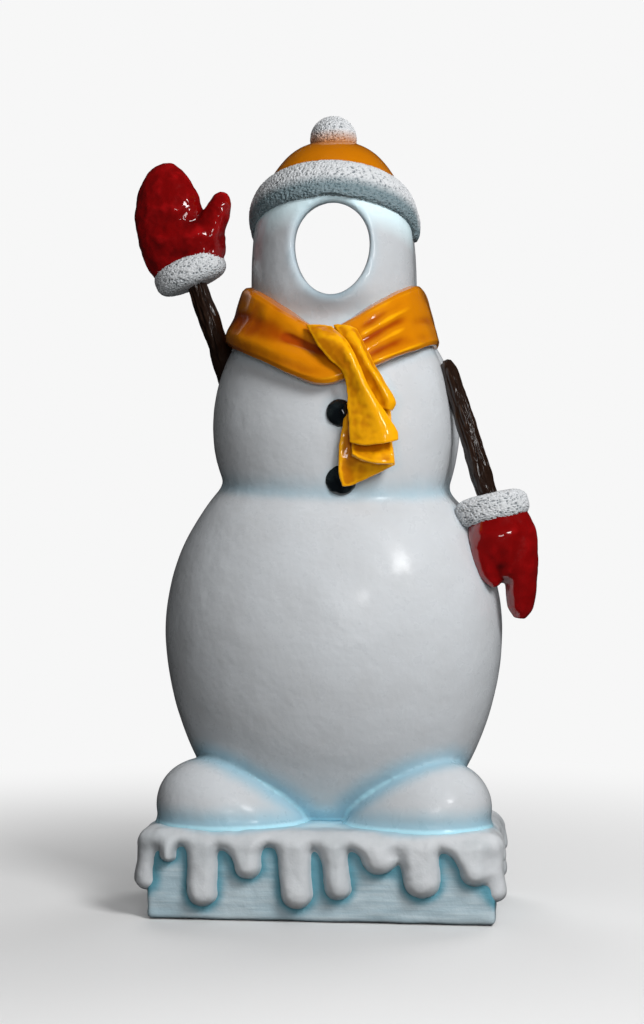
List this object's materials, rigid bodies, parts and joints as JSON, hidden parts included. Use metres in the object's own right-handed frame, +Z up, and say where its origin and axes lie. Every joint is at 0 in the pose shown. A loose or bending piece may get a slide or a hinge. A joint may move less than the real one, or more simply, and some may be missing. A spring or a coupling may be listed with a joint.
{
  "type": "snowman statue with a face hole",
  "caption": "Standing snowman statue with an open face hole, knitted-look hat, scarf and mittens, on an ice block with a dripping snow cap.",
  "frame": {"origin": "on the floor at the ice block's underside, below the middle of the figure", "axes": "+Z up; -Y the way the figure faces; +X towards a viewer's right, the side of the lowered arm"},
  "size_m": [0.962, 0.4673, 1.85],
  "materials": {
    "snow_white": "glossy greyish-white paint with light-blue airbrushing in the creases",
    "ice_blue": "light-blue paint with horizontal brush marks, satin varnish",
    "fleece_white": "moulded wormy fleece texture, matt white paint",
    "scarf_yellow": "glossy amber paint, deeper orange in the folds",
    "hat_orange": "glossy orange paint",
    "mitten_red": "deep red paint under thick gloss varnish",
    "bark_brown": "very dark brown paint over moulded bark grooves",
    "button_black": "glossy near-black paint"
  },
  "bodies": {
    "root": {"ice_block": "ice_blue", "snow_cap": "snow_white", "body": "snow_white", "foot_left": "snow_white", "foot_right": "snow_white", "hat_crown": "hat_orange", "hat_brim": "fleece_white", "hat_pompom": "fleece_white", "button_upper": "button_black", "button_lower": "button_black", "scarf_wrap": "scarf_yellow", "scarf_tail_back": "scarf_yellow", "scarf_tail_front": "scarf_yellow", "cuff_raised": "fleece_white", "cuff_lowered": "fleece_white", "mitten_raised": "mitten_red", "mitten_lowered": "mitten_red", "arm_raised": "bark_brown", "arm_lowered": "bark_brown"}
  },
  "joints": []
}
